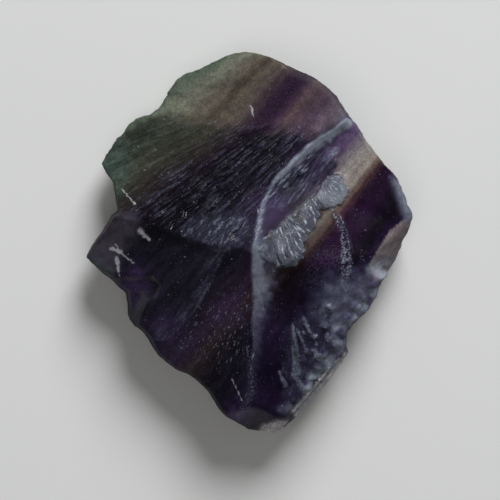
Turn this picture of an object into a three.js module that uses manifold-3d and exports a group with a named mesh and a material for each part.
// A rough cleavage fragment of banded fluorite: one natural solid that lies on its flat back.
// Millimetres, +Z up. Seen from above, +Y runs from the bottom tip to the rounded top edge and
// +X to the blunt right edge. The crest, where the big faces meet, is the highest line.
//
// Fluorite splits along flat planes, so the stone is made as nature makes it. A blank with the
// fragment's outline is cleaved by planes. Sheets have torn away from whole areas, and the ragged
// lines where they tore off are the crest and the scarp. Thin flakes are left standing or chipped
// out, and fine steps, low ridges and broken crystal corners finish the faces.

import * as THREE from "three";
import { mergeVertices } from "three/addons/utils/BufferGeometryUtils.js";
import Module from "manifold-3d";

const wasm = await Module();
wasm.setup();

// Driving dimensions.
const PEAK = 14.2; // foot to the highest point of the crest
const BLANK_TOP = 19; // height of the blank before cleaving
const GIRDLE = 4.4; // mean height of the widest line round the stone
const GIRDLE_SWING = 1.6; // the widest line rises this much towards the upper right
const GIRDLE_TURN = 30; // and this is the way it rises, in degrees
const FOOT_INSET = 1.1; // how far the blank draws in from its widest line to the foot
const TOP_INSET = 1.6; // and from its widest line to its top
const OCTAHEDRAL = 70.5; // dip of a cleavage face beside the flat back, in degrees
const OVERHANG = 180 - OCTAHEDRAL; // the same face where it leans outwards
const SHEET_THICKNESS = 0.55; // the scalloped sheet right of the crest
const RIDGE_THICKNESS = 0.4; // the ragged ridge beyond it
const STEP_WIDTH = 0.8; // one striation
const STEP_DEPTH = 0.2;
const SCAR_LEAN = 0.3; // how far the wall of a scar leans out
const FLAKE_BEVEL = 0.25; // how far the edge of a flake leans in
const LEAST_STEP = 0.15; // the lowest wall along a line where a sheet tore off

// Sizes of the cutting bodies, which only have to be larger than the stone.
const REACH = 160;
const BELOW = -5;
const ABOVE = 30;
const OVERSHOOT = 2; // how far a torn wall runs on above the old face, in wall heights

// The outline seen from above, anticlockwise from the top.
const OUTLINE = [
  // rounded top, down to the step at the upper left
  [-0.5, 21.6], [-1.9, 21.5], [-3.3, 21.0], [-4.7, 20.3], [-5.8, 19.6], [-7.3, 19.2], [-8.4, 18.3],
  [-9.1, 17.3], [-9.8, 16.1], [-10.5, 15.1], [-11.3, 14.6], [-13.0, 14.0],
  // greenish upper left edge and its corner
  [-14.0, 13.2], [-14.4, 12.4], [-15.1, 11.7], [-15.6, 10.7], [-16.3, 9.7], [-16.8, 8.9],
  // chipped edge down to the notch, then out to the left corner
  [-16.3, 7.9], [-15.5, 6.8], [-15.3, 5.6], [-15.1, 4.5], [-14.8, 3.5], [-15.5, 3.0], [-16.4, 1.5],
  [-17.4, 0.2], [-18.3, -1.1], [-18.6, -1.7],
  // lower left edge with its ledges
  [-17.3, -3.2], [-15.9, -4.5], [-15.3, -5.3], [-14.4, -5.9], [-14.1, -7.2], [-13.9, -8.6],
  [-13.2, -9.5], [-12.2, -10.1], [-11.3, -11.1], [-10.9, -11.9], [-10.1, -12.9], [-8.4, -14.3],
  [-6.8, -15.3], [-5.9, -16.3], [-4.7, -17.2], [-3.8, -18.6], [-2.8, -19.8], [-1.4, -20.7],
  // bottom tip
  [-0.2, -21.4], [1.3, -21.5], [2.7, -21.6], [4.0, -20.9],
  // straight lower right side, then the rough edge above it
  [5.4, -19.7], [6.6, -18.3], [7.6, -17.0], [8.9, -15.5], [10.0, -14.0], [11.1, -12.4],
  [10.9, -11.6], [11.1, -10.3], [12.0, -9.2], [13.5, -7.8], [14.4, -6.3], [14.8, -4.7],
  // grey side face and the blunt right corner
  [15.6, -3.5], [16.9, -1.5], [17.5, 0.2], [18.2, 1.9], [18.5, 3.6], [18.1, 5.1],
  // long upper right edge, past the end of the crest, back to the top
  [17.2, 6.5], [16.0, 8.0], [14.5, 9.6], [13.2, 11.3], [12.1, 13.0], [11.2, 14.0], [10.6, 14.9],
  [9.5, 16.6], [8.2, 17.8], [6.8, 18.8], [5.2, 19.5], [3.8, 20.3], [2.5, 20.9], [1.1, 21.3],
];

const radians = THREE.MathUtils.degToRad;
const { lerp } = THREE.MathUtils;

// A closed geometry as a solid that can be cut and joined.
function solid(geometry) {
  const bare = geometry.clone();
  bare.deleteAttribute("normal");
  bare.deleteAttribute("uv");
  const merged = mergeVertices(bare, 1e-5);
  return new wasm.Manifold(
    new wasm.Mesh({
      numProp: 3,
      vertProperties: merged.attributes.position.array,
      triVerts: new Uint32Array(merged.index.array),
    }),
  );
}

const all = (...solids) => solids.reduce((left, right) => left.intersect(right));
const any = (...solids) => solids.reduce((left, right) => left.add(right));

// A number between -1 and 1 that looks random but is the same every time.
function scatter(step, salt) {
  const value = Math.sin(step * 12.9898 + salt * 78.233) * 43758.5453;
  return 2 * (value - Math.floor(value)) - 1;
}

// A face as a geologist states it: a point on it, the way it falls and how steeply. A dip past
// 90 degrees is an overhang.
function plane(at, falls, dip) {
  const sideways = Math.sin(radians(dip));
  const upwards = Math.cos(radians(dip));
  const way = radians(falls);
  const normal = new THREE.Vector3(sideways * Math.cos(way), sideways * Math.sin(way), upwards);
  return { at: new THREE.Vector3(...at), normal };
}

// The face through three points of the stone, looking up.
function planeThrough(a, b, c) {
  const points = [a, b, c].map((point) => new THREE.Vector3(...point));
  const { normal } = new THREE.Plane().setFromCoplanarPoints(...points);
  if (normal.z < 0) normal.negate();
  return { at: points[0], normal };
}

// Height of a face above the point x, y, and that point on the face.
const heightOn = ({ at, normal }, x, y) => at.z - (normal.x * (x - at.x) + normal.y * (y - at.y)) / normal.z;
const on = (face, x, y) => [x, y, heightOn(face, x, y)];

// A face sunk by its own depth at each of three points.
function sunk(face, points) {
  return planeThrough(...points.map(([x, y, depth]) => [x, y, heightOn(face, x, y) - depth]));
}

// Everything on the outer side of a face.
function beyond({ at, normal }) {
  const block = new THREE.BoxGeometry(REACH, REACH, REACH).translate(0, 0, REACH / 2);
  const turn = new THREE.Quaternion().setFromUnitVectors(new THREE.Vector3(0, 0, 1), normal);
  return solid(block.applyQuaternion(turn).translate(at.x, at.y, at.z));
}

// A closed body through rings of points, all with the same number, the lowest first.
function loft(rings) {
  const count = rings[0].length;
  const flat = rings[0].map(([x, y]) => new THREE.Vector2(x, y));
  const last = (rings.length - 1) * count;
  const index = [];
  for (const [a, b, c] of THREE.ShapeUtils.triangulateShape(flat, [])) {
    index.push(c, b, a, last + a, last + b, last + c);
  }
  for (let ring = 0; ring < rings.length - 1; ring++) {
    for (let i = 0; i < count; i++) {
      const a = ring * count + i;
      const b = ring * count + ((i + 1) % count);
      index.push(a, b, b + count, a, b + count, a + count);
    }
  }
  const geometry = new THREE.BufferGeometry();
  geometry.setAttribute("position", new THREE.Float32BufferAttribute(rings.flat(2), 3));
  geometry.setIndex(index);
  return solid(geometry);
}

// Each corner of an anticlockwise outline with the direction that points out of it there. An open
// line is treated the same way, with its ends bent as its last stretch is.
function corners(outline, closed = true) {
  const count = outline.length;
  return outline.map(([x, y], i) => {
    const [x0, y0] = closed || i > 0 ? outline[(i + count - 1) % count] : [x, y];
    const [x1, y1] = closed || i < count - 1 ? outline[(i + 1) % count] : [x, y];
    const before = new THREE.Vector2(y - y0, x0 - x).normalize();
    const after = new THREE.Vector2(y1 - y, x - x1).normalize();
    return { x, y, out: before.add(after).normalize() };
  });
}

// A column that follows a surface: each level is a height above the surface, and how far the
// outline has grown there. Fused on, it is a flake. Cut out, it is the scar of one.
function column(outline, surfaceAt, levels) {
  const clockwise = THREE.ShapeUtils.isClockWise(outline.map(([x, y]) => new THREE.Vector2(x, y)));
  const anticlockwise = clockwise ? [...outline].reverse() : outline;
  return loft(
    levels.map(([rise, growth]) =>
      corners(anticlockwise).map(({ x, y, out }) => {
        const grownX = x + out.x * growth;
        const grownY = y + out.y * growth;
        return [grownX, grownY, surfaceAt(grownX, grownY) + rise];
      }),
    ),
  );
}

// What a whole sheet leaves when it tears off along a ragged line: all that is on the right of
// the line, above a floor. The line's wall leans: it starts on the old face at the line itself
// and reaches the floor a little to the right, by the width given for each point. Closing
// points, well outside the stone, finish the area.
function torn(line, widths, oldFace, floorAt, closing) {
  const wall = corners(line, false).map(({ x, y, out }, i) => {
    const footX = x + out.x * widths[i];
    const footY = y + out.y * widths[i];
    const foot = [footX, footY, floorAt(footX, footY)];
    const head = [x, y, Math.max(heightOn(oldFace(x, y), x, y), foot[2] + LEAST_STEP)];
    const past = head.map((value, axis) => value + OVERSHOOT * (value - foot[axis]));
    return { foot, head, past };
  });
  const ring = (place, endHeight) => {
    const end = closing.map(([x, y]) => [x, y, endHeight]);
    return [...wall.map(place), ...end].reverse();
  };
  return loft([
    ring(({ foot: [x, y] }) => [x, y, BELOW], BELOW),
    ring(({ foot }) => foot, 0),
    ring(({ head }) => head, PEAK),
    ring(({ past }) => past, BLANK_TOP),
    ring(({ past: [x, y] }) => [x, y, ABOVE], ABOVE),
  ]);
}

// A small eight-sided crystal, stretched, turned and laid half sunk in a face. Fused on, it is a
// ridge or a lump. Cut out, it is a groove. With a lean its edge lies near one side, so that one
// flank is steep and the other gentle, as on a step.
function crystal(face, [x, y], [length, width, height], turn, lean = 0) {
  const { at, normal } = face;
  const slope = new THREE.Matrix4().makeShear(0, -normal.x / normal.z, 0, -normal.y / normal.z, 0, 0);
  const sideways = new THREE.Matrix4().makeShear(0, 0, 0, 0, 0, (-lean * width) / (2 * height));
  const geometry = new THREE.OctahedronGeometry(1)
    .scale(length / 2, width / 2, height)
    .applyMatrix4(sideways)
    .rotateZ(radians(turn))
    .applyMatrix4(slope)
    .translate(x, y, heightOn({ at, normal }, x, y));
  return solid(geometry);
}

// The crest, from past its upper right end over the peak to past the bottom tip, seen from
// above, and how wide the bevel beside it is at each point.
const CREST = [
  [15.8, 17.0], [11.2, 13.9], [6.6, 10.7], [2.7, 6.8], [1.2, 3.4], [0.4, -0.6], [0.5, -6.0],
  [0.5, -12.6], [-0.2, -16.8], [-1.3, -19.7], [-2.2, -24.0],
];
const BEVEL_WIDTHS = [1.0, 1.1, 1.5, 1.7, 1.8, 1.9, 2.1, 1.6, 1.0, 0.7, 0.7];
const PEAK_AT = [0.4, -0.6, PEAK];

// The valley between the two faces at the lower left.
const VALLEY = [[-3.4, -1.2], [-6.1, -7.2], [-9.7, -11.4]];

// The big faces of the upper side, named for their place.
const striated = planeThrough(PEAK_AT, [11.2, 13.9, 10.6], [-15.5, 5.5, 6.3]);
const top = planeThrough([0.4, 14.5, 7.0], [-0.5, 21.6, 5.4], [11.2, 13.9, 10.6]);
const left = planeThrough([-18.6, -1.7, 5.0], [-3.9, -0.6, 12.2], [-9.7, -11.4, 8.4]);
const lowerLeft = planeThrough(PEAK_AT, [0.5, -12.6, 10.6], [-9.7, -11.4, 6.0]);
const right = planeThrough([6.6, 10.7, 9.8], [11.2, 13.9, 9.6], [18.5, 3.5, 6.8]);
const middle = planeThrough([0.4, -0.6, 13.3], [2.7, 6.8, 10.6], [8.0, 0.0, 10.5]);
const lowerRight = planeThrough([0.5, -12.6, 10.1], [14.0, -3.5, 9.2], [2.0, -1.5, 12.9]);
const rough = plane([11.2, -5.7, 9.4], -35, 42);

// The blank: the outline at its widest line, drawn in towards the foot and the top.
function blank() {
  const drawnIn = (inset, heightAt) =>
    OUTLINE.map(([x, y]) => {
      const keep = 1 - inset / Math.hypot(x, y);
      return [x * keep, y * keep, heightAt(Math.atan2(y, x))];
    });
  return loft([
    drawnIn(FOOT_INSET, () => 0),
    drawnIn(0, (angle) => GIRDLE + GIRDLE_SWING * Math.cos(angle - radians(GIRDLE_TURN))),
    drawnIn(TOP_INSET, () => BLANK_TOP),
  ]);
}

// Upper left: the striated face and the smoother, flatter band above it meet in a shallow fold.
function cleaveUpperLeft(stone) {
  return stone.subtract(all(beyond(striated), beyond(top)));
}

// Right of the crest the bevel runs down to three faces.
const rightFloorAt = (x, y) =>
  Math.min(Math.max(heightOn(right, x, y), heightOn(middle, x, y)), heightOn(lowerRight, x, y));
function cleaveRight(stone) {
  const faces = any(all(beyond(right), beyond(middle)), beyond(lowerRight));
  const oldFace = (x, y) => (y > CREST[6][1] ? striated : lowerLeft);
  const closing = [[40, 30], [40, -30]];
  const area = torn([...CREST].reverse(), [...BEVEL_WIDTHS].reverse(), oldFace, rightFloorAt, closing);
  return stone.subtract(all(area, faces));
}

// Lower left: a sheet has torn away below the striated face, along a ragged scarp. What it
// bares is two faces that meet in a sharp valley, with a bevel on the valley's left side.
const SCARP = [
  [-19.0, 4.4], [-14.9, 3.5], [-12.4, 2.5], [-10.9, 2.7], [-9.0, 1.1], [-8.1, 0.6], [-6.1, 0.2],
  [-3.9, -0.6], [-2.7, -0.6], [-1.6, 0.5], [0.5, -0.7],
];
const SCARP_WIDTHS = [0.1, 0.1, 0.2, 0.4, 0.5, 0.6, 0.6, 0.5, 0.5, 0.3, 0.1];
function cleaveLowerLeft(stone) {
  const bevels = [
    planeThrough(on(lowerLeft, ...VALLEY[0]), on(lowerLeft, ...VALLEY[1]), on(left, -7.4, -3.6)),
    planeThrough(on(lowerLeft, ...VALLEY[1]), on(lowerLeft, ...VALLEY[2]), on(left, -9.4, -7.4)),
  ];
  const floorAt = (x, y) =>
    Math.max(heightOn(lowerLeft, x, y), Math.min(...[left, ...bevels].map((face) => heightOn(face, x, y))));
  const faces = all(beyond(lowerLeft), any(...[left, ...bevels].map(beyond)));
  const closing = [[0.5, -30], [-30, -30]];
  const area = torn(SCARP, SCARP_WIDTHS, () => striated, floorAt, closing);
  return stone.subtract(all(area, faces));
}

// Rim faces: the rough zone and grey side faces at the lower right, the blunt corner, the tip.
function trimRim(stone) {
  const side = plane([10.0, -12.6, 6.7], -38, 65);
  const grey = plane([14.2, -1.2, 8.6], -31, 62);
  const greyEnd = plane([13.6, -3.2, 8.6], 40, OCTAHEDRAL);
  const corner = plane([17.2, 4.2, 7.2], 15, 55);
  const tip = plane([0.5, -19.6, 7.0], 264, 48);
  const greySide = all(beyond(grey), beyond(greyEnd));
  return stone.subtract(any(beyond(rough), beyond(side), beyond(corner), beyond(tip), greySide));
}

// The hidden sides: cleavage faces that overhang, and steps that climb in from the rim to the
// flat back, so that the edges of the stone are thin. Distances are measured outwards from the
// middle of the stone, the way that each face looks.
const FLANKS = [
  { falls: 29, rim: 17.6, from: 6.2 },
  { falls: 59, rim: 19.5, from: 7.0 },
  { falls: 89, rim: 21.5, from: 4.6 },
  { falls: 149, rim: 19.0, from: 3.4 },
  { falls: 228, rim: 16.3, from: 4.2 },
  { falls: -38, rim: 16.2, from: 4.2 },
];
const STEPS = [
  { falls: 149, riser: 15.9, tread: 2.2 },
  { falls: 149, riser: 13.4, tread: 1.1 },
  { falls: 209, riser: 14.6, tread: 2.9 },
  { falls: 209, riser: 12.4, tread: 1.3 },
  { falls: 269, riser: 19.2, tread: 2.6 },
  { falls: 269, riser: 17.1, tread: 1.2 },
  { falls: 89, riser: 18.6, tread: 2.4 },
  { falls: 29, riser: 14.6, tread: 1.8 },
  { falls: -31, riser: 13.2, tread: 1.5 },
];
function cleaveUnderside(stone) {
  const face = (falls, distance, height) => {
    const at = [distance * Math.cos(radians(falls)), distance * Math.sin(radians(falls)), height];
    return beyond(plane(at, falls, OVERHANG));
  };
  const under = (height) => beyond(plane([0, 0, height], 0, 180));
  const flanks = FLANKS.map(({ falls, rim, from }) => face(falls, rim, from));
  const steps = STEPS.map(({ falls, riser, tread }) => all(face(falls, riser, tread), under(tread)));
  return stone.subtract(any(...flanks, ...steps));
}

// Flakes left standing right of the crest: a thin sheet with a scalloped, shell-like edge, and a
// narrow ragged ridge beyond it.
const SHEET = [
  [1.4, -2.2], [2.7, -2.9], [3.6, -3.0], [4.7, -2.7], [5.7, -2.0], [6.3, -1.0], [6.4, -0.1], [6.0, 0.7],
  [6.9, 1.1], [7.6, 2.0], [7.9, 2.9], [7.8, 3.7], [8.8, 3.6], [9.9, 4.0], [10.7, 4.7], [11.1, 5.7],
  [10.9, 6.8], [10.2, 7.7], [9.2, 7.2], [8.2, 6.1], [6.9, 5.7], [5.8, 5.9], [4.2, 4.9], [2.6, 4.4],
  [2.0, 3.2], [1.4, 0.0],
];
const RIDGE = [
  [9.4, 3.9], [10.0, 2.3], [10.6, 0.8], [10.7, -0.5], [11.1, -1.7], [11.0, -3.6], [11.5, -4.3],
  [11.9, -1.9], [11.6, -0.8], [11.4, 0.6], [10.7, 2.4], [10.0, 3.7],
];
const FLAKE_ROOT = -1.5; // a flake's body starts this far inside the stone
function leaveFlakes(stone) {
  const flake = (outline, thickness) =>
    column(outline, rightFloorAt, [[FLAKE_ROOT, 0], [0, 0], [thickness, -FLAKE_BEVEL]]);
  return any(stone, flake(SHEET, SHEET_THICKNESS), flake(RIDGE, RIDGE_THICKNESS));
}

// Thin flakes chipped out: the ledges at the left edge, the steps along the foot of the striated
// face and the low step of the smooth band. A floor that is sunk unevenly lets a scar be deep on
// one side and run out to nothing on the other.
const SCARS = [
  { floor: sunk(left, [[-15, -5, 0.8], [-11, -5, 0.6], [-13, -9, 0.7]]), outline: [
    [-17.5, -5.4], [-14.6, -4.3], [-12.6, -4.5], [-11.4, -4.2], [-10.4, -4.9], [-10.6, -6.0],
    [-12.0, -6.6], [-12.4, -8.3], [-13.0, -11.0], [-18.0, -11.0],
  ] },
  { floor: sunk(left, [[-15, -6, 1.5], [-12, -6, 1.2], [-13, -9, 1.3]]), outline: [
    [-17.5, -6.6], [-14.2, -5.8], [-12.9, -5.7], [-12.1, -6.2], [-12.9, -7.2], [-13.2, -10.0],
    [-18.0, -10.5],
  ] },
  { floor: sunk(striated, [[-9.2, 1.1, 0.4], [-5.9, 4.9, 0.35], [-2.6, 0.2, 0.0]]), outline: [
    [-9.4, 0.9], [-6.2, -0.6], [-3.6, -1.2], [-2.4, -0.4], [-3.0, 1.3], [-4.2, 2.0], [-4.7, 3.3],
    [-5.9, 4.9], [-6.5, 3.9], [-7.2, 3.5], [-7.4, 2.6], [-8.6, 2.2],
  ] },
  { floor: sunk(striated, [[-2.2, 0.4, 0.55], [0.9, 3.2, 0.35], [0.2, -0.2, 0.25]]), outline: [
    [-2.6, -0.7], [0.2, -0.6], [0.3, 0.8], [0.8, 2.4], [0.9, 3.3], [0.1, 2.9], [-0.6, 2.2],
    [-1.1, 1.3], [-1.9, 0.9],
  ] },
  { floor: sunk(top, [[-9.5, 16.0, 0.35], [-2.0, 17.5, 0.25], [-5.0, 14.6, 0.0]]), outline: [
    [-12.0, 15.6], [-9.9, 16.3], [-7.2, 16.4], [-5.0, 17.3], [-2.0, 17.9], [0.4, 17.6], [-1.4, 16.2],
    [-4.2, 15.4], [-8.0, 14.5], [-12.0, 14.2],
  ] },
];
function chipScars(stone) {
  const levels = [[0, 0], [2 * SCAR_LEAN, SCAR_LEAN], [ABOVE, SCAR_LEAN]];
  const scars = SCARS.map(({ floor, outline }) => column(outline, (x, y) => heightOn(floor, x, y), levels));
  return stone.subtract(any(...scars));
}

// Striations: fine steps across the striated face, in rows that fan from the crest to the upper
// left corner, with a few more in the hollow between the crest and the sheet.
const FAN = {
  rows: 14,
  inRow: 4,
  from: [-0.1, 4.6],
  to: [-10.4, 12.4],
  turnFrom: 44,
  turnTo: 25,
  spacing: 4.2,
  length: 5.0,
};
const HOLLOW = { rows: 4, from: [4.4, 5.9], to: [8.2, 8.6], turn: 38, length: 3.4, depth: 0.3 };
const STEP_LEAN = 0.75; // how near the edge of a step lies to one of its sides
const UNEVEN = { along: 1.4, across: 0.2, length: 1.8, turn: 3, depth: 0.3 };
function striate(stone) {
  const grooves = [];
  for (let row = 0; row < FAN.rows; row++) {
    const t = row / (FAN.rows - 1);
    const turn = lerp(FAN.turnFrom, FAN.turnTo, t);
    for (let i = 0; i < FAN.inRow; i++) {
      const along = FAN.spacing * (i - (FAN.inRow - 1) / 2) + UNEVEN.along * scatter(row, i);
      const x = lerp(FAN.from[0], FAN.to[0], t) + along * Math.cos(radians(turn));
      const y = lerp(FAN.from[1], FAN.to[1], t) + along * Math.sin(radians(turn));
      const place = [x, y + UNEVEN.across * scatter(row, i + 30)];
      const length = FAN.length + UNEVEN.length * scatter(row, i + 10);
      const depth = STEP_DEPTH * (1 + UNEVEN.depth * scatter(row, i + 40));
      const turned = turn + UNEVEN.turn * scatter(row, i + 20);
      grooves.push(crystal(striated, place, [length, STEP_WIDTH, depth], turned, STEP_LEAN));
    }
  }
  for (let row = 0; row < HOLLOW.rows; row++) {
    const t = row / (HOLLOW.rows - 1);
    const place = [lerp(HOLLOW.from[0], HOLLOW.to[0], t), lerp(HOLLOW.from[1], HOLLOW.to[1], t)];
    grooves.push(crystal(middle, place, [HOLLOW.length, STEP_WIDTH, HOLLOW.depth], HOLLOW.turn, STEP_LEAN));
  }
  return stone.subtract(any(...grooves));
}

// Hackle: low ridges that fan out over the lobes of the sheet, from where each flake broke off.
const LOBES = [
  { root: [2.6, 0.5], reach: 3.4, turn: -30, spread: 80 },
  { root: [5.0, 3.2], reach: 2.7, turn: -14, spread: 62 },
  { root: [7.9, 5.5], reach: 2.9, turn: 5, spread: 66 },
];
const HACKLE = { ridges: 5, centre: 0.62, length: 0.95, width: 0.7, height: 0.4, sink: 0.1 };
function addHackle(stone) {
  const ridges = LOBES.flatMap(({ root, reach, turn, spread }) =>
    Array.from({ length: HACKLE.ridges }, (_, i) => {
      const angle = turn + spread * (i / (HACKLE.ridges - 1) - 0.5);
      const x = root[0] + HACKLE.centre * reach * Math.cos(radians(angle));
      const y = root[1] + HACKLE.centre * reach * Math.sin(radians(angle));
      const at = new THREE.Vector3(x, y, rightFloorAt(x, y) + SHEET_THICKNESS - HACKLE.sink);
      const size = [HACKLE.length * reach, HACKLE.width, HACKLE.height];
      return crystal({ at, normal: middle.normal }, [x, y], size, angle);
    }),
  );
  return any(stone, ...ridges);
}

// Lumps: broken crystal corners over the rough zone, in rows along the lower right rim, and long
// splinters beside the crest. None of them reaches past the outline.
const LUMP_ROWS = [
  { from: [13.6, -4.6], to: [5.0, -17.6], count: 11, length: 2.0 },
  { from: [12.2, -7.4], to: [6.6, -16.4], count: 8, length: 1.9 },
  { from: [9.6, -6.8], to: [6.2, -13.6], count: 6, length: 1.7 },
];
const LUMP = { shift: 0.5, uneven: 0.3, slim: 0.7, height: 0.5, turn: 45, turnSwing: 60, lean: 0.6 };
const SPLINTERS = [
  { at: [5.2, -11.8], size: [5.6, 0.8, 0.4], turn: -78 },
  { at: [6.5, -10.0], size: [3.4, 0.7, 0.4], turn: -62 },
  { at: [5.7, -10.9], size: [2.8, 0.6, 0.35], turn: -66 },
  { at: [3.9, -14.6], size: [3.0, 0.7, 0.3], turn: -84 },
];
function addLumps(stone) {
  const lumps = LUMP_ROWS.flatMap(({ from, to, count, length }, row) =>
    Array.from({ length: count }, (_, i) => {
      const t = i / (count - 1);
      const x = lerp(from[0], to[0], t) + LUMP.shift * scatter(i, row + 50);
      const y = lerp(from[1], to[1], t) + LUMP.shift * scatter(i, row + 60);
      const face = heightOn(rough, x, y) < heightOn(lowerRight, x, y) ? rough : lowerRight;
      const long = length * (1 + LUMP.uneven * scatter(i, row + 70));
      const high = LUMP.height * (1 + LUMP.uneven * scatter(i, row + 80));
      const turn = LUMP.turn + LUMP.turnSwing * scatter(i, row + 90);
      return crystal(face, [x, y], [long, LUMP.slim * long, high], turn, LUMP.lean);
    }),
  );
  const splinters = SPLINTERS.map(({ at, size, turn }) => crystal(lowerRight, at, size, turn));
  return any(stone, all(blank(), any(...lumps, ...splinters)));
}

let stone = blank();
stone = cleaveUpperLeft(stone);
stone = cleaveRight(stone);
stone = cleaveLowerLeft(stone);
stone = trimRim(stone);
stone = cleaveUnderside(stone);
stone = leaveFlakes(stone);
stone = chipScars(stone);
stone = striate(stone);
stone = addHackle(stone);
stone = addLumps(stone);

// The stone's foot is centred on the origin.
const { min, max } = stone.boundingBox();
stone = stone.translate([-(min[0] + max[0]) / 2, -(min[1] + max[1]) / 2, -min[2]]);

function meshOf(made, name, material) {
  const { vertProperties, triVerts } = made.getMesh();
  const geometry = new THREE.BufferGeometry();
  geometry.setAttribute("position", new THREE.BufferAttribute(vertProperties, 3));
  geometry.setIndex(new THREE.BufferAttribute(triVerts, 1));
  const mesh = new THREE.Mesh(geometry, material);
  mesh.name = name;
  return mesh;
}

const fluoriteLook = new THREE.MeshStandardMaterial({ color: 0x3b2f4d, roughness: 0.35, metalness: 0 });

const group = new THREE.Group();
group.add(meshOf(stone, "fluorite", fluoriteLook));

export default group;
